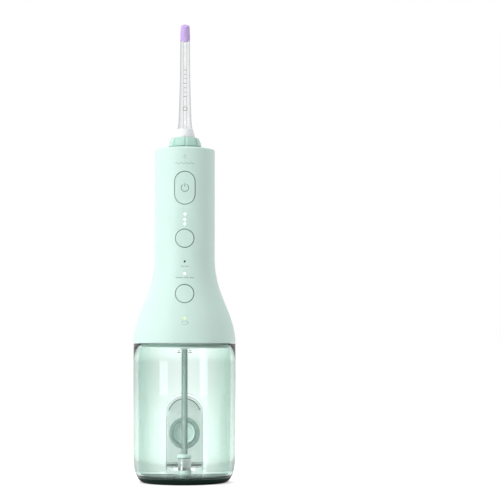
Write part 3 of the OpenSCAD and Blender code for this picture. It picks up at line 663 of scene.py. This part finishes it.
# printed marks on the handle: a plain drop over a ripple, plain bars, and a battery outline
drop = []
for i in range(40):
    t = 2 * math.pi * i / 40
    r = 1.0
    x = r * math.sin(t) * (0.5 - 0.5 * math.cos(t)) ** 0.5
    z = r * math.cos(t)
    drop.append((0.95 * x, 215.2 + 1.15 * z))
printed = [ribbon(drop, 0.26, on_handle, 0.02, 0.02, True)]
ripple = [(-6.4 + 12.8 * i / 60, 210.7 + 0.42 * math.sin(2 * math.pi * i / 15)) for i in range(61)]
printed.append(ribbon(ripple, 0.34, on_handle, 0.02, 0.02))
place(join("drop_mark", printed), "handle", "print_pale")


def bar(x0, x1, z, w=0.55):
    n = max(2, int((x1 - x0) / 0.6))
    return ribbon([(x0 + (x1 - x0) * i / n, z) for i in range(n + 1)], w, on_handle, 0.02, 0.02)


labels = [bar(-2.6, -0.6, 142.7), bar(-0.1, 2.6, 142.7), bar(-6.0, -1.2, 135.2, 0.6), bar(-0.5, 2.6, 135.2, 0.6), bar(3.3, 6.0, 135.2, 0.6)]
place(join("label_bars", labels), "handle", "print_pale")
cell = [ribbon(rrect(1.75, 1.0, 0.35, 0, 4, 3), 0.28, lambda x, z, l=0.0: on_handle(x, z + 105.5, l), 0.02, 0.02, True), bar(2.0, 2.4, 105.5, 0.8)]
place(join("battery_mark", cell), "handle", "print_pale")


# ------------------------------------------------------------------ indicator lenses
def lens(z, y1=-12.4, r=0.65):
    rings = [[(x, y1, z + q) for x, q in rrect(r, r, r, e, 8, 1)] for e in (r * 0.999, 0)]
    for e, d in arc_ring(0.18, 4):
        rings.append([(x, front(x, z + q, -0.05) + d, z + q) for x, q in rrect(r, r, r, e, 8, 1)])
    for e in (r * 0.6, r * 0.999):
        rings.append([(x, front(x, z + q, -0.05), z + q) for x, q in rrect(r, r, r, e, 8, 1)])
    return stack("lens", rings)


place(join("white_lenses", [lens(z) for z in (177.1, 173.6, 170.6, 137.9)]), "handle", "light_white", ["white_lights"])
place(join("dark_lens", [lens(145.9)]), "handle", "light_dark", ["unlit_light"])
place(join("battery_lens", [lens(108.5)]), "handle", "light_green", ["battery_light"])


# ------------------------------------------------------------------ charging cover
def cover_top(x, v):
    return min(-0.1, cover_skin(x, v) - 0.1)


def cover_ring(e, low=None, drop=0.0):
    pts = []
    for x, v in rrect(5.6, 4.7, 0.9, e, 8, 10):
        v += 0.5
        pts.append(cover_at(x, low if low is not None else cover_top(x, v) - drop, v))
    return pts


rings = [cover_ring(4.69, -2.1), cover_ring(2.5, -2.1), cover_ring(0.15, -2.1), cover_ring(0.0, -1.95)]
rings += [cover_ring(e, None, d) for e, d in arc_ring(0.4, 5)]
rings += [cover_ring(0.4 + 4.29 * k / 9) for k in range(1, 10)]
lid = stack("cover_lid", rings)
scoop = stack("cut", [[cover_at(x * 1.0, u, 5.35 + v) for x, v in rrect(a, b, b, 0, 8, 4)] for u, a, b in [(-1.0, 1.2, 0.35), (-0.75, 2.0, 0.6), (-0.4, 2.4, 0.78), (0.6, 2.6, 0.9)]])
boolean(lid, scoop)
barrel = stack("barrel", [[cover_at(x, -1.15 + r * math.cos(t), -4.2 + r * math.sin(t)) for t in [2 * math.pi * i / 28 for i in range(28)]] for x, r in [(-5.6, 0.6), (-5.45, 0.8), (-5.2, 0.85), (5.2, 0.85), (5.45, 0.8), (5.6, 0.6)]])
boolean(lid, barrel, "UNION")
plug = stack("plug", [[cover_at(x, u, v) for x, v in rrect(1.7, 1.7, 1.7, e, 10, 1)] for u, e in [(-3.4, 0.35), (-3.3, 0.12), (-3.1, 0), (-2.0, 0)]])
boolean(lid, plug, "UNION")
place(lid, "charge_cover", "cover_mint", ["charge_cover"])


# ------------------------------------------------------------------ tank
def arcs(pts, n=4):
    """a smooth curve through the points (r, z), n steps between each pair"""
    out = []
    for i in range(len(pts) - 1):
        p0, p1, p2, p3 = pts[max(i - 1, 0)], pts[i], pts[i + 1], pts[min(i + 2, len(pts) - 1)]
        for k in range(n):
            t = k / n
            out.append(tuple(0.5 * ((2 * b) + (-a + c) * t + (2 * a - 5 * b + 4 * c - d) * t * t + (-a + 3 * b - 3 * c + d) * t**3) for a, b, c, d in zip(p0, p1, p2, p3)))
    return out + [pts[-1]]


side = arcs([(31.2, 3.6), (32.2, 5.4), (33.1, 8.7), (33.7, 13), (34, 18)], 5)
side = [(min(r, 33.992), z) for r, z in side]
shell = [(0, 2.02), (29.38, 2.02), (29.38, 3.62)] + side + [(33.992, z) for z in (26, 34, 42, 50, 58, 66, 74, 82, 90)] + [(33.992, 91.6), (33.93, 91.85), (33.7, 92), (31.35, 92), (31.1, 91.9), (31, 91.7)]
deep = [(31, 91.7), (30.92, 80), (30.84, 62), (30.72, 40), (30.6, 20), (30.54, 14), (30.4, 8.5), (30.1, 6.8), (29.5, 5.5), (28.5, 4.55), (27, 4.05), (25, 4)]
shell += deep[1:] + [(0, 4)]
body = revolve("tank_wall", shell, 256)
pad = stack("pad", [[(x, y if y else math.sqrt((tank(z) - 0.6) ** 2 - x * x), z) for x, z in arch(15, 3.9, 43, e, 1.5)] for y, e in [(27.4, 14.99), (27.4, 9), (27.4, 0.5), (27.55, 0.12), (27.8, 0), (None, 0), (None, 4), (None, 8), (None, 12), (None, 14.99)]])
boolean(body, pad, "UNION")
pocket = stack("pocket", [[(x, y, z) for x, z in arch(13.2, 3.8, 42.8, e, 0.8)] for y, e in [(29.5, 13.19), (29.5, 0.4), (29.6, 0.12), (29.9, 0), (40, 0)]])
boolean(body, pocket)
slot = stack("slot", [[(x, 29.9 + a, 11 + b) for a, b in rrect(1.0, 1.5, 0.6, 0, 5, 2)] for x in (-12.8, 12.8)])
boolean(body, slot)
port = stack("port", [[(x, y, z + 31) for x, z in rrect(8.2, 8.2, 8.2, e, 24, 1)] for y, e in [(26, -0.3), (27.25, -0.3), (27.45, -0.1), (27.7, 0), (31, 0)]])
boolean(body, port)
place(body, "tank", "tank_clear", ["tank_shell"])
body.visible_shadow = False

ring = fillet([(8.35, 27.38), (8.35, 26.7), (10.7, 26.7), (10.7, 27.38)], {1: 0.35, 2: 0.35}, 5)
ring_mesh = stack("port_ring", [[(r * math.cos(2 * math.pi * k / 96), y, 31 + r * math.sin(2 * math.pi * k / 96)) for k in range(96)] for r, y in ring], closed=True)
place(ring_mesh, "tank", "port_and_gap_shade_grey")

# the foot ring is coloured near black as painted shade for the contact shadow under the tank's rounded base
foot = fillet([(0, 0), (27.4, 0), (28.8, 0.7), (29.8, 1.6), (30.6, 2.6), (31.2, 3.6), (29.4, 3.6), (29.4, 2), (0, 2)], {1: 0.8, 2: 0.6, 3: 0.6, 4: 0.6, 5: 0.15}, 4)
place(revolve("foot_ring", foot, 256), "tank", "foot_dark", ["base_foot"])


def on_frame(x, z, lift=0.0):
    return (x, 29.6 - lift, z)


# painted shade: a thin dark arc round the door's top and two dark strips down its sides, laid on the frame, stand in
# for the shade in the gap round the door
gap_shade_arc = [(11.35 * math.cos(math.radians(a)), 42.8 + 11.35 * math.sin(math.radians(a))) for a in range(18, 163, 4)]
place(join("frame_gap_shade_arc", [ribbon(gap_shade_arc, 0.5, on_frame, 0.08, 0.05)]), "tank", "seal_dark")
gap_shade_sides = [ribbon([(s * 12.55, z) for z in (8.2, 20, 32, 42.6)], 0.28, on_frame, 0.06, 0.05) for s in (-1, 1)]
place(join("frame_gap_shade_sides", gap_shade_sides), "tank", "port_and_gap_shade_grey")


def on_tank(x, z, lift=0.0):
    return (x, -math.sqrt(33.992**2 - x * x) - lift, z)


fill = []
for sx in (-1, 1):
    fill.append(ribbon([(sx * (2.4 + 0.5 * i), 86.2) for i in range(6)], 0.45, on_tank, 0.0, 0.05))
    fill.append(ribbon([(sx * 3.1, 87.9), (sx * 3.65, 86.9), (sx * 4.2, 87.9)], 0.4, on_tank, 0.0, 0.05))
place(join("fill_line", fill), "tank", "print_grey")


# ------------------------------------------------------------------ filling door
def door_skin(x, z):
    return math.sqrt((tank(z) - 0.05) ** 2 - x * x)


def door_part(x, z, f):
    """height f of the way through the door's thickness there"""
    return 31.4 + f * (door_skin(x, z) - 31.4)


rings = []
for f, e in [(0, 11.89), (0, 6), (0, 0.12), (0.1, 0.03), (0.25, 0)]:
    rings.append([(x, door_part(x, z, f), z) for x, z in arch(11.9, 12.65, 42.7, e, 1.2)])
for e, d in arc_ring(0.45, 5):
    rings.append([(x, door_skin(x, z) - d * min(1, (door_skin(x, z) - 31.4) / 0.9), z) for x, z in arch(11.9, 12.65, 42.7, e, 1.2)])
for k in range(1, 12):
    e = 0.45 + (11.89 - 0.45) * k / 11
    rings.append([(x, door_skin(x, z), z) for x, z in arch(11.9, 12.65, 42.7, e, 1.2)])
door = stack("door_leaf", rings)
notch = stack("notch", [[(x, 34.9 - u, 54.3 + v) for x, v in rrect(a, b, b, 0, 8, 4)] for u, a, b in [(-0.5, 4.2, 2.2), (0.6, 4.0, 2.0), (1.3, 3.4, 1.5), (1.75, 2.6, 0.9), (1.9, 1.6, 0.3)]])
boolean(door, notch)
seat = stack("seat", [[(x, y, z + 31) for x, z in rrect(10.8, 10.8, 10.8, 0, 20, 1)] for y in (31.0, 31.95)])
boolean(door, seat)
root = stack("root", [[(x, y, z) for y, z in [(30.5, 11.1), (31.3, 11.0), (32.6, 11.05), (33.0, 11.3), (33.1, 12.0), (33.1, 13.2), (31.5, 13.2), (31.45, 12.4), (30.5, 12.3)]] for x in (-6.9, 6.9)])
boolean(door, root, "UNION")
knuckle = stack("knuckle", [[(x, 30.3 + r * math.cos(t), 11 + r * math.sin(t)) for t in [2 * math.pi * i / 32 for i in range(32)]] for x, r in [(-7, 1.0), (-6.85, 1.17), (-6.6, 1.2), (6.6, 1.2), (6.85, 1.17), (7, 1.0)]])
boolean(door, knuckle, "UNION")
pinhole = stack("pinhole", [[(x, 30.3 + 0.78 * math.cos(t), 11 + 0.78 * math.sin(t)) for t in [2 * math.pi * i / 24 for i in range(24)]] for x in (-9, 9)])
boolean(door, pinhole)
place(door, "fill_door", "door_mint", ["fill_door"])

plugp = [(0, 31.9), (10.5, 31.9), (10.68, 31.7), (10.68, 31.25), (10.5, 31.06), (8.1, 31.06), (7.85, 30.9), (7.8, 30.6), (7.8, 29.5), (7.6, 29.1), (7.35, 29.0), (7.0, 29.0), (6.72, 29.15), (6.6, 29.5), (6.6, 31.2), (6.3, 31.5), (0, 31.5)]
plug_mesh = stack("port_plug", [[(r * math.cos(2 * math.pi * k / 96), y, 31 + r * math.sin(2 * math.pi * k / 96)) for k in range(96)] for r, y in plugp], closed=True)
place(plug_mesh, "fill_door", "silicone_pale", ["door_seal"])


# ------------------------------------------------------------------ intake hose: two straight lengths, the upper one over two of the hose's pieces
def hose(name, z0, z1, nodes):
    n, m = 40, 40
    rows = [(z0 + (z1 - z0) * i / m, 2.0) for i in range(m + 1)] + [(z1 - (z1 - z0) * i / m, 1.2) for i in range(m + 1)]
    o = stack(name, [[(r * math.cos(2 * math.pi * k / n), r * math.sin(2 * math.pi * k / n), z) for k in range(n)] for z, r in rows], closed=True)
    o.data.materials.append(MAT["hose_clear"])
    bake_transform(o)
    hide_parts(*nodes)
    return o


hose("hose_upper", 86, 70.9, ["intake_hose_upper", "intake_hose_middle"])
hose("hose_lower", 70.88, 17.0, ["intake_hose_lower"])

capp = [(1.25, 16.2), (4.2, 16.2), (4.5, 16.35), (4.6, 16.65), (4.58, 17.4), (4.4, 17.9), (3.9, 18.35), (3.2, 18.65), (2.5, 18.8), (2.02, 18.75), (2.02, 16.9), (1.25, 16.9)]
place(revolve("hose_collar", capp, 96, angle=40), "intake_end", "silicone_pale", ["hose_cap"])
wt = [(1.25, 9), (4.2, 9), (4.35, 9.15), (4.35, 12.2), (4.3, 12.28), (4.3, 12.42), (4.35, 12.5), (4.35, 16.05), (4.2, 16.2), (1.25, 16.2)]
place(revolve("chrome_weight", wt, 128, angle=30), "intake_end", "weight_chrome", ["intake_weight"])


# ------------------------------------------------------------------ carried-over CAD nodes
REST = {
    "door_frame": "door_mint", "door_hinge_pin": "steel", "bulkhead": "inner_white", "bulkhead_screws": "steel", "chassis": "inner_white",
    "chassis_screws": "steel", "motor_can": "motor_steel", "motor_magnets": "magnet_grey", "motor_end_cap": "black_plastic",
    "battery_cell": "battery_blue", "battery_tabs": "steel", "circuit_board": "board_green", "board_screws": "steel",
    # the keypad seal's near-black colour is painted shade for the gaps round the buttons
    "tact_switches": "black_plastic", "led_chips": "led_body", "control_chip": "black_plastic", "keypad_seal": "keypad_grey",
    "pump_cylinder": "pump_grey", "pump_head": "pump_grey", "head_screws": "steel", "pump_valves": "silicone_pale", "gear_axle": "steel",
    "axle_washer": "steel", "inlet_tube": "hose_clear", "outlet_tube": "hose_clear", "nozzle_socket": "inner_white",
    "socket_seal": "seal_dark", "charge_socket": "black_plastic", "collar_clip": "steel", "intake_filter": "silicone_pale",
    "motor_shaft": "steel", "motor_armature": "winding_copper", "drive_pinion": "pinion_brass", "crank_gear": "gear_white",
    "connecting_rod": "gear_white", "piston": "gear_white", "piston_seal": "seal_dark",
}
for name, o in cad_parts.items():
    if not o.hide_render:
        o.data.materials.clear()
        o.data.materials.append(MAT[REST[name]])


# ------------------------------------------------------------------ floor, light and camera
bm = bmesh.new()
bmesh.ops.create_grid(bm, x_segments=8, y_segments=8, size=60)
me = bpy.data.meshes.new("floor")
bm.to_mesh(me)
bm.free()
floor = bpy.data.objects.new("floor", me)
bpy.context.scene.collection.objects.link(floor)
fm, fnt, fb = tree("floor_white")
fnt.links.new(two(fnt, noise(fnt, 3, 2), (0.80, 0.80, 0.80), (0.82, 0.82, 0.82)), fb.inputs["Base Color"])
fb.inputs["Roughness"].default_value = 0.7
fb.inputs["Specular IOR Level"].default_value = 0.1
fb.inputs["Emission Color"].default_value = (1, 1, 1, 1)
flp = fnt.nodes.new("ShaderNodeLightPath")
fmul = fnt.nodes.new("ShaderNodeMath")
fmul.operation = "MULTIPLY"
fmul.inputs[1].default_value = 0.42
fmax = fnt.nodes.new("ShaderNodeMath")
fmax.operation = "MAXIMUM"
fnt.links.new(flp.outputs["Is Camera Ray"], fmax.inputs[0])
fnt.links.new(flp.outputs["Is Transmission Ray"], fmax.inputs[1])
fnt.links.new(fmax.outputs[0], fmul.inputs[0])
fnt.links.new(fmul.outputs[0], fb.inputs["Emission Strength"])
me.materials.append(fm)
floor.location = (0, 0, -0.00002)

world = bpy.data.worlds.new("studio")
bpy.context.scene.world = world
world.use_nodes = True
wt_ = world.node_tree
wt_.nodes.clear()
out = wt_.nodes.new("ShaderNodeOutputWorld")
tc = wt_.nodes.new("ShaderNodeTexCoord")
sep = wt_.nodes.new("ShaderNodeSeparateXYZ")
wt_.links.new(tc.outputs["Generated"], sep.inputs[0])


def unbounced(nt, light_path, src):
    """src, only while the ray has not been reflected or scattered on its way"""
    depth = nt.nodes.new("ShaderNodeMath")
    depth.operation = "ADD"
    nt.links.new(light_path.outputs["Glossy Depth"], depth.inputs[0])
    nt.links.new(light_path.outputs["Diffuse Depth"], depth.inputs[1])
    first = nt.nodes.new("ShaderNodeMath")
    first.operation = "LESS_THAN"
    first.inputs[1].default_value = 0.5
    nt.links.new(depth.outputs[0], first.inputs[0])
    both = nt.nodes.new("ShaderNodeMath")
    both.operation = "MULTIPLY"
    nt.links.new(src, both.inputs[0])
    nt.links.new(first.outputs[0], both.inputs[1])
    return both.outputs[0]


def ramp(axis, a, b, lo, hi):
    r = wt_.nodes.new("ShaderNodeMapRange")
    r.interpolation_type = "SMOOTHSTEP"
    for k, v in (("From Min", a), ("From Max", b), ("To Min", lo), ("To Max", hi)):
        r.inputs[k].default_value = v
    wt_.links.new(sep.outputs[axis], r.inputs["Value"])
    return r.outputs[0]


def total(a, b):
    m = wt_.nodes.new("ShaderNodeMath")
    m.operation = "ADD"
    for i, s in enumerate((a, b)):
        wt_.links.new(s, m.inputs[i])
    return m.outputs[0]


power = total(total(ramp("Z", 0.3, 0.95, 0.10, 0.85), ramp("Y", 0.1, 0.8, 0.0, 0.75)), total(ramp("X", -0.95, 0.0, 0.55, 0.0), ramp("X", 0.35, 0.95, 0.0, 0.80)))
soft = wt_.nodes.new("ShaderNodeBackground")
wt_.links.new(power, soft.inputs["Strength"])
plain = wt_.nodes.new("ShaderNodeBackground")
plain.inputs["Strength"].default_value = 1.0
plain.inputs["Color"].default_value = (1, 1, 1, 1)
path = wt_.nodes.new("ShaderNodeLightPath")
mix = wt_.nodes.new("ShaderNodeMixShader")
seen = wt_.nodes.new("ShaderNodeMath")
seen.operation = "MAXIMUM"
wt_.links.new(path.outputs["Is Camera Ray"], seen.inputs[0])
wt_.links.new(path.outputs["Is Transmission Ray"], seen.inputs[1])
wt_.links.new(unbounced(wt_, path, seen.outputs[0]), mix.inputs[0])
wt_.links.new(soft.outputs[0], mix.inputs[1])
wt_.links.new(plain.outputs[0], mix.inputs[2])
wt_.links.new(mix.outputs[0], out.inputs[0])


def softbox(name, at, to, w, h, watts, tint=(1, 1, 1)):
    d = bpy.data.lights.new(name, "AREA")
    d.shape, d.size, d.size_y, d.energy, d.color = "RECTANGLE", w, h, watts, tint
    o = bpy.data.objects.new(name, d)
    o.location = at
    o.rotation_euler = (Vector(to) - Vector(at)).to_track_quat("-Z", "Y").to_euler()
    bpy.context.scene.collection.objects.link(o)
    o.visible_glossy = False


softbox("key", (-0.99, -0.82, 0.45), (0, 0, 0.16), 0.5, 1.2, 11.0)
softbox("top", (-0.2, 0.2, 1.8), (0, 0, 0), 1.8, 1.8, 14)

cam = bpy.data.cameras.new("camera")
cam.lens, cam.sensor_width, cam.clip_start, cam.clip_end = 131.04, 36, 0.01, 100
eye = bpy.data.objects.new("camera", cam)
eye.location = (0, -1.216, 0.093)
eye.rotation_euler = Vector((65.3 / 1820, 1, 92 / 1820)).to_track_quat("-Z", "Y").to_euler()
bpy.context.scene.collection.objects.link(eye)
bpy.context.scene.camera = eye
bpy.context.scene.view_settings.view_transform = "Standard"
